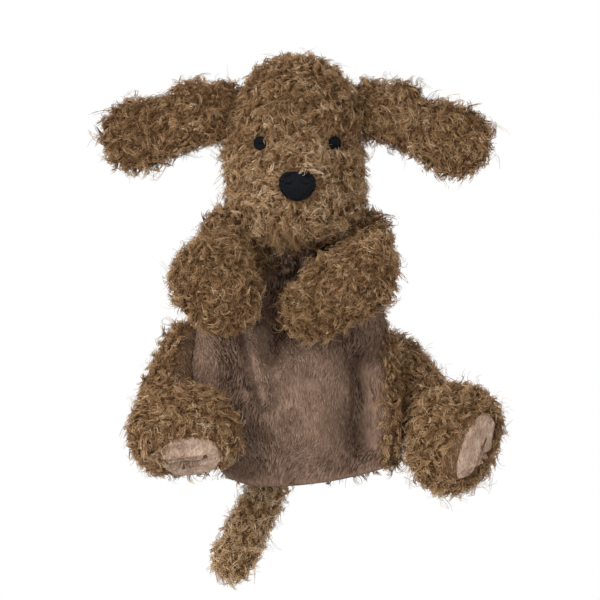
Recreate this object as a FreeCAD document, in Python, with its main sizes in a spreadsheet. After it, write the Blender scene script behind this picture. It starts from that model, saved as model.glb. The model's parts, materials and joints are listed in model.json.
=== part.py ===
import FreeCAD, Part
import os
from math import acos, cos, pi, sin

import Sketcher
from FreeCAD import Placement, Rotation, Vector

# A plush dog glove puppet, worn on one hand.
# Millimetres, +Z up to the crown, -Y the way the face looks, +X to the viewer's right.
# The origin is the centre of the hem opening, where the hand goes in.

doc = FreeCAD.newDocument("dog_glove_puppet")

# ---------------------------------------------------------------- sizes

SIZES = {
    # fabrics and the clearances between them
    "panel_wall": 3.0,
    "lining_wall": 1.2,
    "layer_gap": 0.2,
    "joint_gap": 0.4,
    # the glove, as oval sections from the hem up to the collar
    "hem_height": 0.0, "hem_across": 3.0, "hem_back": 0.0,
    "hem_half_width": 53.0, "hem_half_depth": 27.0,
    "belly_height": 45.0, "belly_across": 0.0, "belly_back": -1.0,
    "belly_half_width": 54.0, "belly_half_depth": 31.0,
    "hip_height": 84.0, "hip_across": -4.0, "hip_back": 0.0,
    "hip_half_width": 56.0, "hip_half_depth": 29.0,
    "chest_drop": 36.0, "chest_across": -5.0, "chest_back": 1.0,
    "chest_half_width": 49.0, "chest_half_depth": 25.0,
    "shoulder_drop": 13.0, "shoulder_across": -4.0, "shoulder_back": 3.0,
    "shoulder_half_width": 33.0, "shoulder_half_depth": 21.0,
    "collar_height": 148.0, "collar_across": -4.0, "collar_back": 4.0,
    "collar_half_width": 21.5, "collar_half_depth": 19.5,
    "hem_turn_up": 12.0,
    # the neck, a ball-shaped ring that tips in the collar
    "neck_radius": 16.5,
    "neck_rise": 1.0,
    "neck_half_height": 8.0,
    "neck_bore_radius": 11.5,
    # the pocket for one finger in the head
    "stall_bore_radius": 10.5,
    "stall_length": 34.0,
    # the head, as three ovals placed from the neck's centre
    "cranium_half_width": 36.5, "cranium_half_depth": 34.0, "cranium_half_height": 41.0,
    "cranium_forward": 2.0, "cranium_rise": 66.0,
    "jowl_half_width": 45.0, "jowl_half_depth": 35.0, "jowl_half_height": 27.5,
    "jowl_forward": 18.0, "jowl_rise": 28.5,
    "snout_half_width": 25.0, "snout_half_depth": 24.0, "snout_half_height": 19.0,
    "snout_forward": 36.0, "snout_rise": 33.0,
    "crown_gusset_width": 34.0,
    "mouth_rise": 17.0,
    # the face
    "eye_spacing": 44.7, "eye_rise": 55.8, "eye_lift": 1.6,
    "eye_half_width": 3.6, "eye_half_height": 4.2,
    "nose_rise": 29.5, "nose_lift": 3.5,
    "nose_top_radius": 6.0, "nose_top_spread": 4.7, "nose_top_rise": 2.7,
    "nose_tip_radius": 6.8, "nose_tip_drop": 1.9,
    "mouth_stitch_width": 1.0, "mouth_stitch_height": 7.0, "mouth_stitch_lift": 0.7,
    # the ears
    "ear_root_radius": 12.0, "ear_tip_radius": 20.5, "ear_length": 50.0,
    "ear_thickness": 12.0, "ear_wall": 2.4, "ear_round": 5.2,
    "ear_rise": 76.0, "ear_back": 0.0,
    "left_ear_droop": 17.0, "right_ear_droop": 21.0,
    # the arms, each from the shoulder over the elbow to the paw
    "arm_root_radius": 13.5, "arm_root_height": 140.5, "arm_root_forward": 12.0,
    "left_elbow_across": -56.0, "left_elbow_height": 123.0, "left_elbow_radius": 21.0,
    "left_paw_across": -48.0, "left_paw_height": 114.0, "left_paw_radius": 20.0,
    "right_elbow_across": 35.0, "right_elbow_height": 124.0, "right_elbow_radius": 18.0,
    "right_paw_across": 5.0, "right_paw_height": 106.0, "right_paw_radius": 16.0,
    "arm_fold_gap": 2.0, "elbow_tuck": 2.0,
    "arm_stall_radius": 9.5, "arm_stall_tip_radius": 10.0, "armhole_depth": 32.0,
    # the legs, each from the hip to the ankle, with a stuffed foot
    "left_hip_radius": 11.0, "left_hip_height": 86.0, "left_hip_turn": 176.0,
    "left_ankle_across": -82.0, "left_ankle_back": -16.0, "left_ankle_height": 52.0,
    "left_ankle_radius": 14.0,
    "left_foot_across": -71.0, "left_foot_back": -33.0, "left_foot_height": 33.0,
    "right_hip_radius": 10.0, "right_hip_height": 80.0, "right_hip_turn": 18.0,
    "right_ankle_across": 78.0, "right_ankle_back": -3.0, "right_ankle_height": 46.0,
    "right_ankle_radius": 14.0,
    "right_foot_across": 90.0, "right_foot_back": -18.0, "right_foot_height": 29.0,
    "foot_half_length": 31.0, "foot_half_width": 25.0, "foot_half_height": 26.0,
    "sole_level": 19.0,
    # the tail
    "tail_root_radius": 9.0, "tail_root_across": -16.0, "tail_root_height": 12.0,
    "tail_tip_radius": 10.5, "tail_tip_across": -43.0, "tail_tip_height": -47.0,
    "tail_tip_back": 37.0,
}

# Each foot's own axes: along the sole to the toes, and out through the sole.
FOOT_AXES = {
    "left": (Vector(1.0, 0.1, 0.0), Vector(0.05, -0.57, -0.82)),
    "right": (Vector(0.36, 0.0, 0.93), Vector(0.80, -0.50, -0.31)),
}

sheet = doc.addObject("Spreadsheet::Sheet", "Sizes")
for row, (size_name, value) in enumerate(SIZES.items(), start=1):
    sheet.set(f"A{row}", size_name)
    sheet.set(f"B{row}", str(value))
    sheet.setAlias(f"B{row}", size_name)
doc.recompute()

REACH = 400.0  # half the side of a block that stands for half of space


def size(name):
    """The sheet's value under this name."""
    return float(sheet.get(name))


def cell(formula):
    """A formula over size names as a FreeCAD expression, each name looked up in the sheet."""
    words = formula.split()
    return " ".join(f"Sizes.{word}" if word in SIZES else word for word in words)


def worth(formula):
    """The value of such a formula now, used to draw a sketch before it is bound."""
    total = 0.0
    sign = 1.0
    for word in formula.split():
        if word in "+-":
            sign = 1.0 if word == "+" else -1.0
        else:
            total += sign * (size(word) if word in SIZES else float(word))
    return total


def bind(thing, **formulas):
    """Bind properties of a document object to formulas over the sheet."""
    for name, formula in formulas.items():
        thing.setExpression(name, cell(formula))
    return thing


# ---------------------------------------------------------------- tools

pieces = []


def piece(thing, label):
    """Keep an object as one physical piece of the puppet under its own name."""
    thing.Label = label
    pieces.append(thing)
    return thing


def cut(name, base, tool):
    result = doc.addObject("Part::Cut", name)
    result.Base = base
    result.Tool = tool
    return result


def common(name, *shapes):
    result = doc.addObject("Part::MultiCommon", name)
    result.Shapes = list(shapes)
    return result


def fuse(name, *shapes):
    result = doc.addObject("Part::MultiFuse", name)
    result.Shapes = list(shapes)
    return result


def block(name, low, high):
    """A box from one corner to the other; None in a corner stands for far away."""
    low = Vector(*(-REACH if place is None else place for place in low))
    high = Vector(*(REACH if place is None else place for place in high))
    result = doc.addObject("Part::Box", name)
    result.Length = high.x - low.x
    result.Width = high.y - low.y
    result.Height = high.z - low.z
    result.Placement.Base = low
    return result


def oval(name, centre, half_width, half_depth, half_height, rotation=Rotation()):
    """An ellipsoid; its three half sizes are formulas over the sheet."""
    result = doc.addObject("Part::Ellipsoid", name)
    bind(result, Radius2=half_width, Radius3=half_depth, Radius1=half_height)
    result.Placement = Placement(centre, rotation)
    return result


def ball(name, centre, radius):
    result = doc.addObject("Part::Sphere", name)
    bind(result, Radius=radius)
    result.Placement.Base = centre
    return result


def rod(name, foot, radius, height):
    """An upright cylinder on the point foot; radius and height are formulas."""
    result = doc.addObject("Part::Cylinder", name)
    bind(result, Radius=radius, Height=height)
    result.Placement.Base = foot
    return result


def sketch_on(body, plane, name):
    """A sketch on one of the body's own origin planes."""
    sketch = body.newObject("Sketcher::SketchObject", name)
    support = [feature for feature in body.Origin.OriginFeatures if feature.Role == plane][0]
    sketch.AttachmentSupport = [(support, "")]
    sketch.MapMode = "FlatFace"
    return sketch


def arc(centre, radius, start, end):
    circle = Part.Circle(centre, Vector(0, 0, 1), radius)
    return Part.ArcOfCircle(circle, start, end)


def capsule(name, root, tip, root_radius, tip_radius):
    """A body of revolution: a ball at root and a ball at tip with a tangent cone between them."""
    along = tip - root
    length = along.Length
    r_root = worth(root_radius)
    r_tip = worth(tip_radius)
    lean = acos((r_root - r_tip) / length)
    body = doc.addObject("PartDesign::Body", name)
    sketch = sketch_on(body, "XY_Plane", name + "_profile")
    root_touch = Vector(r_root * cos(lean), r_root * sin(lean), 0)
    tip_touch = Vector(length + r_tip * cos(lean), r_tip * sin(lean), 0)
    sketch.addGeometry([
        arc(Vector(), r_root, lean, pi),
        Part.LineSegment(root_touch, tip_touch),
        arc(Vector(length, 0, 0), r_tip, 0, lean),
        Part.LineSegment(Vector(-r_root, 0, 0), Vector(length + r_tip, 0, 0)),
    ], False)
    sketch.addConstraint([
        Sketcher.Constraint("Tangent", 0, 1, 1, 1),
        Sketcher.Constraint("Tangent", 1, 2, 2, 2),
        Sketcher.Constraint("Coincident", 0, 2, 3, 1),
        Sketcher.Constraint("Coincident", 2, 1, 3, 2),
        Sketcher.Constraint("Coincident", 0, 3, -1, 1),
        Sketcher.Constraint("PointOnObject", 3, 1, -1),
        Sketcher.Constraint("PointOnObject", 3, 2, -1),
        Sketcher.Constraint("PointOnObject", 2, 3, -1),
        Sketcher.Constraint("DistanceX", -1, 1, 2, 3, length),
        Sketcher.Constraint("Radius", 0, r_root),
        Sketcher.Constraint("Radius", 2, r_tip),
    ])
    sketch.setExpression("Constraints[9]", cell(root_radius))
    sketch.setExpression("Constraints[10]", cell(tip_radius))
    turned = body.newObject("PartDesign::Revolution", name + "_turned")
    turned.Profile = sketch
    turned.ReferenceAxis = (sketch, ["H_Axis"])
    turned.Angle = 360
    body.Placement = Placement(root, Rotation(Vector(1, 0, 0), along))
    return body


def hull_sketch(body, plane, name, circles):
    """The outline pulled tight round circles, listed anticlockwise as (x, y, radius) formulas."""
    sketch = sketch_on(body, plane, name)
    count = len(circles)
    spots = [Vector(worth(x), worth(y), 0) for x, y, radius in circles]
    radii = [worth(radius) for x, y, radius in circles]
    outward = []
    for index in range(count):
        following = (index + 1) % count
        along = spots[following] - spots[index]
        tilt = acos((radii[index] - radii[following]) / along.Length)
        heading = Vector(1, 0, 0).getAngle(along) * (1 if along.y >= 0 else -1)
        outward.append(heading - tilt)
    lines = []
    for index in range(count):
        following = (index + 1) % count
        normal = Vector(cos(outward[index]), sin(outward[index]), 0)
        start = spots[index] + normal * radii[index]
        end = spots[following] + normal * radii[following]
        lines.append(Part.LineSegment(start, end))
    arcs = []
    for index in range(count):
        first = outward[index - 1]
        last = outward[index]
        while last < first:
            last += 2 * pi
        arcs.append(arc(spots[index], radii[index], first, last))
    sketch.addGeometry(arcs + lines, False)
    for index, (x, y, radius) in enumerate(circles):
        line = count + index
        following = (index + 1) % count
        sketch.addConstraint(Sketcher.Constraint("Tangent", index, 2, line, 1))
        sketch.addConstraint(Sketcher.Constraint("Tangent", line, 2, following, 1))
        formulas = {"DistanceX": x, "DistanceY": y, "Radius": radius}
        for kind, formula in formulas.items():
            ends = (index,) if kind == "Radius" else (-1, 1, index, 3)
            number = sketch.addConstraint(Sketcher.Constraint(kind, *ends, worth(formula)))
            sketch.setExpression(f"Constraints[{number}]", cell(formula))
    return sketch


def pad_both_ways(body, sketch, name, thickness):
    padded = body.newObject("PartDesign::Pad", name)
    padded.Profile = sketch
    padded.SideType = "Symmetric"
    bind(padded, Length=thickness)
    return padded


def seated(carrier, start, toward, distance):
    """Walk from start toward a carrying solid until this point is just that far from it."""
    step = (toward - start).normalize()
    spot = Vector(start)
    for turn in range(60):
        apart = Part.Vertex(spot).distToShape(carrier)[0] - distance
        spot += step * apart
        if abs(apart) < 0.001:
            break
    return spot


# ---------------------------------------------------------------- glove

SECTION_HEIGHTS = {
    "hem": "hem_height",
    "belly": "belly_height",
    "hip": "hip_height",
    "chest": "collar_height - chest_drop",
    "shoulder": "collar_height - shoulder_drop",
    "collar": "collar_height",
}
PAST_END = 6.0  # how far a hollow runs past the glove's two ends


def glove_form(name, inset):
    """The glove's smooth form, drawn in from its outside by a formula."""
    ovals = []
    for section in ("below", *SECTION_HEIGHTS, "above"):
        source = {"below": "hem", "above": "collar"}.get(section, section)
        past = {"below": f" - {PAST_END}", "above": f" + {PAST_END}"}.get(section, "")
        ring = doc.addObject("Part::Ellipse", f"{name}_{section}")
        bind(ring, MajorRadius=f"{source}_half_width - {inset}")
        bind(ring, MinorRadius=f"{source}_half_depth - {inset}")
        ring.setExpression("Placement.Base.x", cell(f"{source}_across"))
        ring.setExpression("Placement.Base.y", cell(f"{source}_back"))
        ring.setExpression("Placement.Base.z", cell(SECTION_HEIGHTS[source] + past))
        ovals.append(ring)
    form = doc.addObject("Part::Loft", name)
    form.Sections = ovals
    form.Solid = True
    form.Ruled = False
    return form


neck_centre = Vector(size("collar_across"), size("collar_back"),
                     size("collar_height") + size("neck_rise"))
neck_seat = ball("neck_seat", neck_centre, "neck_radius + joint_gap")

panel_outside = glove_form("panel_outside", "0")
panel_inside = glove_form("panel_inside", "panel_wall")
lining_outside = glove_form("lining_outside", "panel_wall - layer_gap")
lining_inside = glove_form("lining_inside", "panel_wall - layer_gap - lining_wall")
facing_outside = glove_form("facing_outside", "panel_wall - layer_gap - lining_wall - layer_gap")
facing_inside = glove_form(
    "facing_inside", "panel_wall - layer_gap - lining_wall - layer_gap - lining_wall")
doc.recompute()

glove_height = block("glove_height", (None, None, size("hem_height")),
                     (None, None, size("collar_height")))
glove_solid = common("glove_solid", panel_outside, glove_height)
doc.recompute()
carrier = glove_solid.Shape

arm_roots = {}
for side, hand in (("left", -1), ("right", 1)):
    level = Vector(size("shoulder_across"), -size("arm_root_forward"), size("arm_root_height"))
    arm_roots[side] = seated(carrier, level + Vector(hand * REACH, 0, 0), level,
                             size("arm_root_radius") + size("joint_gap"))

hip_roots = {}
for side in ("left", "right"):
    level = Vector(size("hip_across"), size("hip_back"), size(f"{side}_hip_height"))
    turn = size(f"{side}_hip_turn") * pi / 180
    hip_roots[side] = seated(carrier, level + Vector(cos(turn), sin(turn), 0) * REACH, level,
                             size(f"{side}_hip_radius") + size("joint_gap"))

tail_level = Vector(size("tail_root_across"), 0, size("tail_root_height"))
tail_root = seated(carrier, tail_level + Vector(0, REACH, 0), tail_level,
                   size("tail_root_radius") + size("joint_gap"))

# A round hole on each side lets a finger pass from the glove into the arm. It stops short of
# the middle of the collar's front.
armholes = []
for side, hand in (("left", -1), ("right", 1)):
    hole = rod(f"{side}_armhole", arm_roots[side], "arm_stall_radius", "armhole_depth")
    hole.Placement = Placement(arm_roots[side], Rotation(Vector(0, 1, 0), -90 * hand))
    armholes.append(hole)

glove_holes = fuse("glove_holes", neck_seat, *armholes)


def glove_layer(name, outside, inside, low, high):
    """One layer of the glove between two forms, kept to a range of space, with its holes."""
    wall = cut(f"{name}_wall", outside, inside)
    kept = common(f"{name}_kept", wall, block(f"{name}_range", low, high))
    return piece(cut(name, kept, glove_holes), name)


hem = size("hem_height")
collar = size("collar_height")
seam = size("collar_back") / 2
glove_layer("belly_panel", panel_outside, panel_inside, (None, None, hem), (None, seam, collar))
glove_layer("back_panel", panel_outside, panel_inside, (None, seam, hem), (None, None, collar))
glove_layer("lining_front", lining_outside, lining_inside,
            (None, None, hem), (None, seam, collar))
glove_layer("lining_back", lining_outside, lining_inside,
            (None, seam, hem), (None, None, collar))
glove_layer("hem_facing", facing_outside, facing_inside,
            (None, None, hem), (None, None, hem + size("hem_turn_up")))

# ---------------------------------------------------------------- neck

neck_foot = neck_centre - Vector(0, 0, size("neck_half_height"))
neck_ball = ball("neck_ball", neck_centre, "neck_radius")
neck_slice = rod("neck_slice", neck_foot, "neck_radius", "neck_half_height + neck_half_height")
neck_zone = common("neck_zone", neck_ball, neck_slice)
neck_hole = rod("neck_hole", neck_foot, "neck_bore_radius + lining_wall",
                "neck_half_height + neck_half_height")
piece(cut("neck_cover", neck_zone, neck_hole), "neck_cover")
sleeve_outside = rod("sleeve_outside", neck_foot, "neck_bore_radius + lining_wall - layer_gap",
                     "neck_half_height + neck_half_height")
sleeve_inside = rod("sleeve_inside", neck_foot, "neck_bore_radius",
                    "neck_half_height + neck_half_height")
piece(cut("neck_sleeve", sleeve_outside, sleeve_inside), "neck_sleeve")

# ---------------------------------------------------------------- head

HEAD_OVALS = ("cranium", "jowl", "snout")
head_floor = neck_centre + Vector(0, 0, size("neck_half_height") + size("joint_gap"))


def head_form(name, change):
    """The head's rounded form; the formula ending is added to every half size."""
    ovals = []
    for part in HEAD_OVALS:
        centre = neck_centre + Vector(0, -size(f"{part}_forward"), size(f"{part}_rise"))
        ovals.append(oval(f"{name}_{part}", centre, f"{part}_half_width {change}",
                          f"{part}_half_depth {change}", f"{part}_half_height {change}"))
    return fuse(name, *ovals)


head_outside = head_form("head_outside", "")
head_inside = head_form("head_inside", "- panel_wall")
fill_outside = head_form("fill_outside", "- panel_wall - layer_gap")
neck_room = rod("neck_room", head_floor - Vector(0, 0, REACH), "neck_radius + joint_gap",
                f"{REACH}")
stall_room = rod("stall_room", head_floor, "stall_bore_radius + lining_wall + layer_gap",
                 "stall_length")
stall_room_top = ball("stall_room_top", head_floor + Vector(0, 0, size("stall_length")),
                      "stall_bore_radius + lining_wall + layer_gap")
head_hollow = fuse("head_hollow", neck_room, stall_room, stall_room_top)
head_skin = cut("head_skin", head_outside, head_inside)
head_shell = cut("head_shell", head_skin, head_hollow)
piece(cut("head_stuffing", fill_outside, head_hollow), "head_stuffing")

gusset_left = neck_centre.x - size("crown_gusset_width") / 2
gusset_right = neck_centre.x + size("crown_gusset_width") / 2
mouth_level = neck_centre.z + size("mouth_rise")
chin_range = block("chin_range", (gusset_left, None, None),
                   (gusset_right, neck_centre.y, mouth_level))
middle_range = block("middle_range", (gusset_left, None, None), (gusset_right, None, None))
left_range = block("left_range", (None, None, None), (gusset_left, None, None))
right_range = block("right_range", (gusset_right, None, None), (None, None, None))
gusset_range = cut("gusset_range", middle_range, chin_range)
piece(common("head_side_left", head_shell, left_range), "head_side_left")
piece(common("head_side_right", head_shell, right_range), "head_side_right")
piece(common("head_gusset", head_shell, gusset_range), "head_gusset")
piece(common("chin_panel", head_shell, chin_range), "chin_panel")

# The finger pocket: a round sleeve closed by a dome.
finger_stall = doc.addObject("PartDesign::Body", "finger_stall")
stall_sketch = sketch_on(finger_stall, "XZ_Plane", "stall_profile")
bore = size("stall_bore_radius")
rim = bore + size("lining_wall")
top = size("stall_length")
stall_sketch.addGeometry([
    Part.LineSegment(Vector(bore, 0, 0), Vector(rim, 0, 0)),
    Part.LineSegment(Vector(rim, 0, 0), Vector(rim, top, 0)),
    arc(Vector(0, top, 0), rim, 0, pi / 2),
    Part.LineSegment(Vector(0, top + rim, 0), Vector(0, top + bore, 0)),
    arc(Vector(0, top, 0), bore, 0, pi / 2),
    Part.LineSegment(Vector(bore, top, 0), Vector(bore, 0, 0)),
], False)
stall_sketch.addConstraint([
    Sketcher.Constraint("Coincident", 0, 2, 1, 1),
    Sketcher.Constraint("Tangent", 1, 2, 2, 1),
    Sketcher.Constraint("Coincident", 2, 2, 3, 1),
    Sketcher.Constraint("Coincident", 3, 2, 4, 2),
    Sketcher.Constraint("Tangent", 4, 1, 5, 1),
    Sketcher.Constraint("Coincident", 5, 2, 0, 1),
    Sketcher.Constraint("PointOnObject", 0, 1, -1),
    Sketcher.Constraint("Horizontal", 0),
    Sketcher.Constraint("Vertical", 1),
    Sketcher.Constraint("PointOnObject", 2, 3, -2),
    Sketcher.Constraint("PointOnObject", 3, 1, -2),
    Sketcher.Constraint("PointOnObject", 3, 2, -2),
    Sketcher.Constraint("Coincident", 2, 3, 4, 3),
    Sketcher.Constraint("Radius", 4, bore),
    Sketcher.Constraint("Radius", 2, rim),
    Sketcher.Constraint("DistanceY", -1, 1, 4, 3, top),
])
stall_sketch.setExpression("Constraints[13]", cell("stall_bore_radius"))
stall_sketch.setExpression("Constraints[14]", cell("stall_bore_radius + lining_wall"))
stall_sketch.setExpression("Constraints[15]", cell("stall_length"))
stall_turned = finger_stall.newObject("PartDesign::Revolution", "stall_turned")
stall_turned.Profile = stall_sketch
stall_turned.ReferenceAxis = (stall_sketch, ["V_Axis"])
stall_turned.Angle = 360
finger_stall.Placement.Base = head_floor
piece(finger_stall, "finger_stall")

# ---------------------------------------------------------------- face


def stitched(label, outline, lift):
    """A stitched patch: an outline's column, kept between the head and a raised copy of it."""
    raised = head_form(f"{label}_raised", f"+ {lift}")
    front = block(f"{label}_front", (None, None, None), (None, neck_centre.y, None))
    column = common(f"{label}_column", outline, raised, front)
    return piece(cut(label, column, head_outside), label)


def face_column(name, circles, across, rise):
    """A column along Y over an outline of circles, on the face."""
    body = doc.addObject("PartDesign::Body", name)
    pad_both_ways(body, hull_sketch(body, "XZ_Plane", f"{name}_outline", circles),
                  f"{name}_pad", "jowl_half_width + jowl_half_width")
    body.Placement.Base = Vector(neck_centre.x + across, neck_centre.y - size("snout_forward"),
                                 neck_centre.z + rise)
    return body


EYE_CIRCLES = [("0", "eye_half_height - eye_half_width", "eye_half_width"),
               ("0", "eye_half_width - eye_half_height", "eye_half_width")]
NOSE_CIRCLES = [("0", "0 - nose_tip_drop", "nose_tip_radius"),
                ("nose_top_spread", "nose_top_rise", "nose_top_radius"),
                ("0 - nose_top_spread", "nose_top_rise", "nose_top_radius")]

for side, hand in (("left", -1), ("right", 1)):
    outline = face_column(f"eye_{side}_outline", EYE_CIRCLES, hand * size("eye_spacing") / 2,
                          size("eye_rise"))
    stitched(f"eye_{side}", outline, "eye_lift")
nose_outline = face_column("nose_outline", NOSE_CIRCLES, 0, size("nose_rise"))
stitched("nose", nose_outline, "nose_lift")
stitch_top = neck_centre.z + size("mouth_rise")
half_stitch = size("mouth_stitch_width") / 2
mouth_outline = block("mouth_outline",
                      (neck_centre.x - half_stitch, None,
                       stitch_top - size("mouth_stitch_height")),
                      (neck_centre.x + half_stitch, None, stitch_top))
stitched("mouth_stitch", mouth_outline, "mouth_stitch_lift")

# ---------------------------------------------------------------- ears

doc.recompute()
head_surface = head_outside.Shape


def ear_form(name, root, droop, hand, inset, thinning):
    """A flat pad with round edges, its outline pulled tight round a small and a large circle."""
    body = doc.addObject("PartDesign::Body", name)
    circles = [("0", "0", f"ear_root_radius {inset}"),
               ("ear_length", "0", f"ear_tip_radius {inset}")]
    sketch = hull_sketch(body, "XZ_Plane", f"{name}_outline", circles)
    padded = pad_both_ways(body, sketch, f"{name}_pad", f"ear_thickness {thinning}")
    doc.recompute()
    rims = [f"Edge{number}" for number, edge in enumerate(padded.Shape.Edges, start=1)
            if edge.BoundBox.YLength < 0.01]
    rounded = body.newObject("PartDesign::Fillet", f"{name}_rounded")
    rounded.Base = (padded, rims)
    bind(rounded, Radius=f"ear_round {inset}")
    body.Tip = rounded
    facing = Rotation(Vector(0, 1, 0), droop if hand > 0 else 180 - droop)
    body.Placement = Placement(root, facing)
    return body


ear_roots = {}
for side, hand in (("left", -1), ("right", 1)):
    level = neck_centre + Vector(0, size("ear_back"), size("ear_rise"))
    root = seated(head_surface, level + Vector(hand * REACH, 0, 0), level,
                  size("ear_root_radius") + size("joint_gap"))
    ear_roots[side] = root
    droop = size(f"{side}_ear_droop")
    outside = ear_form(f"ear_{side}_outside", root, droop, hand, "", "")
    inside = ear_form(f"ear_{side}_inside", root, droop, hand, "- ear_wall",
                      "- ear_wall - ear_wall")
    filling = ear_form(f"ear_{side}_filling", root, droop, hand, "- ear_wall - layer_gap",
                       "- ear_wall - ear_wall - layer_gap - layer_gap")
    skin = cut(f"ear_{side}_skin", outside, inside)
    seam_plane = root.y
    front = block(f"ear_{side}_front_range", (None, None, None), (None, seam_plane, None))
    back = block(f"ear_{side}_back_range", (None, seam_plane, None), (None, None, None))
    piece(common(f"ear_{side}_front", skin, front), f"ear_{side}_front")
    piece(common(f"ear_{side}_back", skin, back), f"ear_{side}_back")
    piece(filling, f"ear_{side}_batting")

# ---------------------------------------------------------------- arms

chest_front = size("chest_back") - size("chest_half_depth")


def limb(name, spots, radii, inset=""):
    """Tapered rounds from spot to spot, all drawn in by the same formula ending."""
    rounds = [capsule(f"{name}_{number}", spots[number], spots[number + 1],
                      f"{radii[number]} {inset}", f"{radii[number + 1]} {inset}")
              for number in range(len(spots) - 1)]
    return rounds[0] if len(rounds) == 1 else fuse(name, *rounds)


for side, hand in (("left", -1), ("right", 1)):
    root = arm_roots[side]
    folded = chest_front - size("arm_fold_gap")
    elbow = Vector(size(f"{side}_elbow_across"),
                   folded - size(f"{side}_elbow_radius") + size("elbow_tuck"),
                   size(f"{side}_elbow_height"))
    paw = Vector(size(f"{side}_paw_across"), folded - size(f"{side}_paw_radius"),
                 size(f"{side}_paw_height"))
    spots = (root, elbow, paw)
    radii = ("arm_root_radius", f"{side}_elbow_radius", f"{side}_paw_radius")
    outside = limb(f"arm_{side}_outside", spots, radii)
    inside = limb(f"arm_{side}_inside", spots, radii, "- panel_wall")
    filling = limb(f"arm_{side}_filling", spots, radii, "- panel_wall - layer_gap")
    stall_radii = ("arm_stall_radius", "arm_stall_tip_radius")
    stall_outside = limb(f"arm_{side}_stall_outside", spots[:2], stall_radii)
    stall_inside = limb(f"arm_{side}_stall_inside", spots[:2], stall_radii, "- lining_wall")
    stall_space = limb(f"arm_{side}_stall_space", spots[:2], stall_radii, "+ layer_gap")
    mouth = rod(f"arm_{side}_mouth", root, "arm_stall_radius - lining_wall", "chest_half_width")
    mouth.Placement = Placement(root, Rotation(Vector(0, 1, 0), -90 * hand))
    skin = cut(f"arm_{side}_skin", outside, inside)
    shell = cut(f"arm_{side}_shell", skin, mouth)
    seam_plane = elbow.y + size("elbow_tuck")
    front = block(f"arm_{side}_front", (None, None, None), (None, seam_plane, None))
    back = block(f"arm_{side}_back", (None, seam_plane, None), (None, None, None))
    piece(common(f"arm_{side}_top", shell, front), f"arm_{side}_top")
    piece(common(f"arm_{side}_palm", shell, back), f"arm_{side}_palm")
    stall_skin = cut(f"arm_{side}_stall_skin", stall_outside, stall_inside)
    piece(cut(f"arm_{side}_stall", stall_skin, mouth), f"arm_{side}_stall")
    stuffed = cut(f"arm_{side}_stuffed", filling, stall_space)
    piece(cut(f"arm_{side}_stuffing", stuffed, mouth), f"arm_{side}_stuffing")

# ---------------------------------------------------------------- legs

for side in ("left", "right"):
    hip = hip_roots[side]
    ankle, foot = (Vector(size(f"{side}_{spot}_across"), size(f"{side}_{spot}_back"),
                          size(f"{side}_{spot}_height")) for spot in ("ankle", "foot"))
    toward_toes, through_sole = FOOT_AXES[side]
    facing = Rotation(toward_toes, Vector(), through_sole, "ZXY")
    leg_radii = (f"{side}_hip_radius", f"{side}_ankle_radius")
    foot_sizes = ("foot_half_length", "foot_half_width", "foot_half_height")

    leg_outside = limb(f"leg_{side}_outside", (hip, ankle), leg_radii)
    leg_inside = limb(f"leg_{side}_inside", (hip, ankle), leg_radii, "- panel_wall")
    leg_filling = limb(f"leg_{side}_filling", (hip, ankle), leg_radii, "- panel_wall - layer_gap")
    foot_outside, foot_inside, foot_filling = (
        oval(f"foot_{side}_{layer}", foot, *(f"{half} {inset}" for half in foot_sizes), facing)
        for layer, inset in (("outside", ""), ("inside", "- panel_wall"),
                             ("filling", "- panel_wall - layer_gap")))
    below_sole, sole_slice = (
        block(f"foot_{side}_{name}", (None, None, low), (None, None, high))
        for name, low, high in (
            ("below_sole", size("sole_level") - size("panel_wall"), None),
            ("sole_slice", size("sole_level") - size("panel_wall"), size("sole_level"))))
    for slab in (below_sole, sole_slice):
        slab.Placement = Placement(foot, facing).multiply(slab.Placement)

    leg_skin = cut(f"leg_{side}_skin", leg_outside, leg_inside)
    piece(cut(f"leg_{side}_cover", leg_skin, foot_outside), f"leg_{side}_cover")
    foot_skin = cut(f"foot_{side}_skin", foot_outside, fuse(f"foot_{side}_hollow", foot_inside,
                                                            below_sole, leg_inside))
    piece(foot_skin, f"foot_{side}_cover")
    piece(common(f"sole_{side}", foot_outside, sole_slice), f"sole_{side}")
    both_filled = fuse(f"leg_{side}_filled", leg_filling, foot_filling)
    piece(cut(f"leg_{side}_stuffing", both_filled, below_sole), f"leg_{side}_stuffing")

# ---------------------------------------------------------------- tail

tail_tip = Vector(size("tail_tip_across"), size("tail_tip_back"), size("tail_tip_height"))
tail_radii = ("tail_root_radius", "tail_tip_radius")
tail_outside = limb("tail_outside", (tail_root, tail_tip), tail_radii)
tail_inside = limb("tail_inside", (tail_root, tail_tip), tail_radii, "- panel_wall")
piece(cut("tail_cover", tail_outside, tail_inside), "tail_cover")
piece(limb("tail_stuffing", (tail_root, tail_tip), tail_radii, "- panel_wall - layer_gap"),
      "tail_stuffing")

# ---------------------------------------------------------------- checks and files

doc.recompute()
for thing in doc.Objects:
    if "Invalid" in thing.State or "Error" in thing.State:
        raise RuntimeError(f"{thing.Name} failed: {thing.State}")
os.makedirs("parts", exist_ok=True)
for thing in pieces:
    shape = thing.Shape
    if shape.isNull() or not shape.isValid() or not shape.Solids:
        raise RuntimeError(f"{thing.Label} has no valid solid")
    print(f"{thing.Label}: {len(shape.Solids)} solid, {shape.Volume / 1000:.2f} cm3")
    shape.exportStep(f"parts/{thing.Label}.step")
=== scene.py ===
import json
from functools import partial
from math import cos, exp, pi, sin, tau
from typing import NamedTuple

import bpy
import bmesh
import numpy as np
from mathutils import Matrix, Vector, noise
from mathutils.bvhtree import BVHTree


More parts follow.
